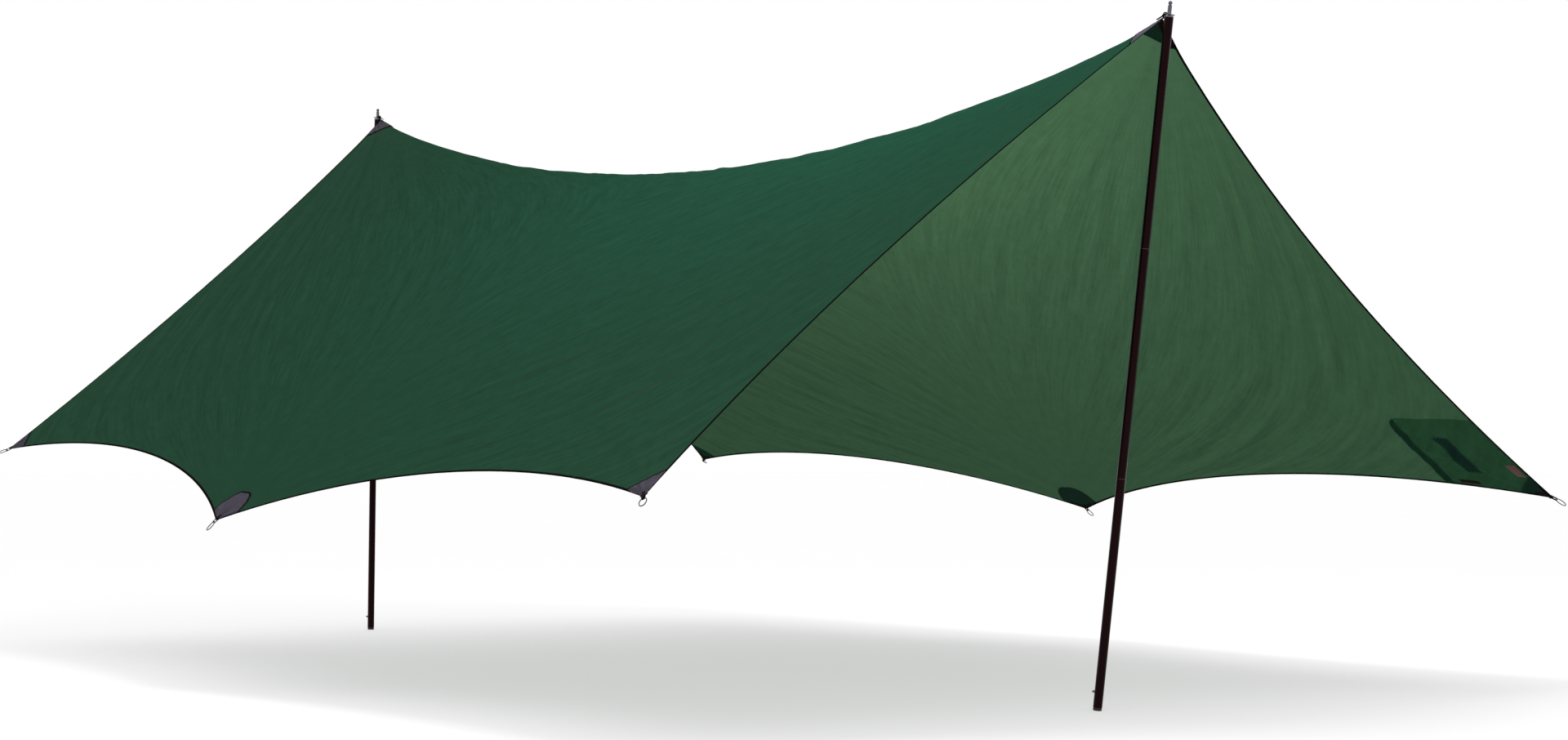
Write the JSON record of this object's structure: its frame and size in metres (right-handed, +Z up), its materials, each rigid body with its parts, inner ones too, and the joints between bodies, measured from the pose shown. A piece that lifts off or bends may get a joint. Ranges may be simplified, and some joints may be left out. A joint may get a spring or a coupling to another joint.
{
  "type": "tarp shelter",
  "caption": "Open-ended shelter: a tensioned cloth canopy with hollow-curved hems, wire rings at its tie-outs, a corner stow pocket, and two upright poles.",
  "frame": {"origin": "on the ground, midway between the two poles and under the ridge", "axes": "+X along the ridge to the front pole, +Y to the left side, +Z up"},
  "size_m": [4.8769, 3.7916, 2.2147],
  "materials": {
    "canopy_cloth": "woven ripstop nylon, silicone coated",
    "reinforcement_cloth": "heavier woven nylon, uncoated face",
    "black_webbing": "woven polyamide tape",
    "label_cloth": "woven label, blank",
    "ring_wire": "drawn steel wire, dulled",
    "pole_tube": "anodised black-brown, satin",
    "coupler_aluminium": "mill finish",
    "foot_plastic": "moulded polyamide",
    "bright_steel": "polished and plated"
  },
  "bodies": {
    "canopy": {"blank_label": "label_cloth", "canopy_left_panel": "canopy_cloth", "canopy_right_panel": "canopy_cloth", "front_end_hem": "black_webbing", "front_left_patch": "reinforcement_cloth", "front_left_webbing": "black_webbing", "front_peak_patch": "reinforcement_cloth", "front_peak_webbing": "black_webbing", "front_right_patch": "reinforcement_cloth", "front_right_webbing": "black_webbing", "hem_closure_tab": "black_webbing", "left_side_hem": "black_webbing", "mid_left_patch": "reinforcement_cloth", "mid_left_webbing": "black_webbing", "mid_right_patch": "reinforcement_cloth", "mid_right_webbing": "black_webbing", "pocket_closure_strip": "black_webbing", "pocket_mouth_hem": "black_webbing", "rear_end_hem": "black_webbing", "rear_left_patch": "reinforcement_cloth", "rear_left_webbing": "black_webbing", "rear_peak_patch": "reinforcement_cloth", "rear_peak_webbing": "black_webbing", "rear_right_patch": "reinforcement_cloth", "rear_right_webbing": "black_webbing", "right_side_hem": "black_webbing", "stow_pocket": "canopy_cloth"},
    "rear_peak_ring": {"rear_peak_ring": "ring_wire"},
    "front_peak_ring": {"front_peak_ring": "ring_wire"},
    "rear_right_ring": {"rear_right_ring": "ring_wire"},
    "mid_right_ring": {"mid_right_ring": "ring_wire"},
    "front_right_ring": {"front_right_ring": "ring_wire"},
    "rear_left_ring": {"rear_left_ring": "ring_wire"},
    "mid_left_ring": {"mid_left_ring": "ring_wire"},
    "front_left_ring": {"front_left_ring": "ring_wire"},
    "front_pole": {"front_pole_upper_tube": "pole_tube", "front_pole_middle_tube": "pole_tube", "front_pole_lower_tube": "pole_tube", "front_pole_upper_coupler": "coupler_aluminium", "front_pole_lower_coupler": "coupler_aluminium", "front_pole_end_cap": "bright_steel", "front_pole_spike": "bright_steel"},
    "front_leg": {"front_pole_leg": "pole_tube", "front_pole_foot": "foot_plastic", "front_pole_button_spring": "bright_steel"},
    "front_button": {"front_pole_button": "bright_steel"},
    "rear_pole": {"rear_pole_upper_tube": "pole_tube", "rear_pole_middle_tube": "pole_tube", "rear_pole_lower_tube": "pole_tube", "rear_pole_upper_coupler": "coupler_aluminium", "rear_pole_lower_coupler": "coupler_aluminium", "rear_pole_end_cap": "bright_steel", "rear_pole_spike": "bright_steel"},
    "rear_leg": {"rear_pole_leg": "pole_tube", "rear_pole_foot": "foot_plastic", "rear_pole_button_spring": "bright_steel"},
    "rear_button": {"rear_pole_button": "bright_steel"}
  },
  "joints": [
    {"name": "rear_peak_ring_swing", "type": "hinge", "parent": "canopy", "child": "rear_peak_ring", "pos_m": [-2.40497, 0.00208, 2.17932], "axis": [0.0094, -0.9999, 0.0103], "range_deg": [-40, 4]},
    {"name": "front_peak_ring_swing", "type": "hinge", "parent": "canopy", "child": "front_peak_ring", "pos_m": [2.39875, 0.01004, 2.04889], "axis": [0.0153, 0.9998, -0.0114], "range_deg": [-40, 4]},
    {"name": "rear_right_ring_swing", "type": "hinge", "parent": "canopy", "child": "rear_right_ring", "pos_m": [-2.32124, -1.66131, 0.75534], "axis": [0.7078, -0.533, -0.4635], "range_deg": [-48, 70]},
    {"name": "mid_right_ring_swing", "type": "hinge", "parent": "canopy", "child": "mid_right_ring", "pos_m": [-0.00216, -1.87162, 0.53218], "axis": [0.9996, -0.0174, -0.0211], "range_deg": [-68, 50]},
    {"name": "front_right_ring_swing", "type": "hinge", "parent": "canopy", "child": "front_right_ring", "pos_m": [2.33117, -1.76944, 0.6444], "axis": [0.7183, 0.5455, 0.432], "range_deg": [-66, 52]},
    {"name": "rear_left_ring_swing", "type": "hinge", "parent": "canopy", "child": "rear_left_ring", "pos_m": [-2.35225, 1.65321, 0.71225], "axis": [-0.7051, -0.5331, 0.4676], "range_deg": [-48, 70]},
    {"name": "mid_left_ring_swing", "type": "hinge", "parent": "canopy", "child": "mid_left_ring", "pos_m": [0.01384, 1.86569, 0.53026], "axis": [-0.9997, -0.0186, 0.0184], "range_deg": [-62, 56]},
    {"name": "front_left_ring_swing", "type": "hinge", "parent": "canopy", "child": "front_left_ring", "pos_m": [2.39323, 1.77033, 0.61235], "axis": [-0.7094, 0.5488, -0.4422], "range_deg": [-68, 50]},
    {"name": "rear_pole_lean", "type": "hinge", "parent": "canopy", "child": "rear_pole", "pos_m": [-2.41997, 0.002, 2.16632], "axis": [0, 1, 0], "range_deg": [-8, 8]},
    {"name": "rear_leg_slide", "type": "slide", "parent": "rear_pole", "child": "rear_leg", "axis": [0.036, -0.0272, -0.999], "range_m": [0, 0.3]},
    {"name": "rear_button_press", "type": "slide", "parent": "rear_leg", "child": "rear_button", "axis": [0.5902, 0.8072, -0.0007], "range_m": [0, 0.007], "stiffness_N_per_m": 600, "springref_m": -0.004, "deforming": ["rear_pole_button_spring"]},
    {"name": "front_pole_lean", "type": "hinge", "parent": "canopy", "child": "front_pole", "pos_m": [2.41375, 0.00986, 2.03589], "axis": [0, 1, 0], "range_deg": [-8, 8]},
    {"name": "front_leg_slide", "type": "slide", "parent": "front_pole", "child": "front_leg", "axis": [-0.1092, -0.038, -0.9933], "range_m": [0, 0.3]},
    {"name": "front_button_press", "type": "slide", "parent": "front_leg", "child": "front_button", "axis": [0.5824, 0.8073, -0.095], "range_m": [0, 0.007], "stiffness_N_per_m": 600, "springref_m": -0.004, "deforming": ["front_pole_button_spring"]}
  ]
}
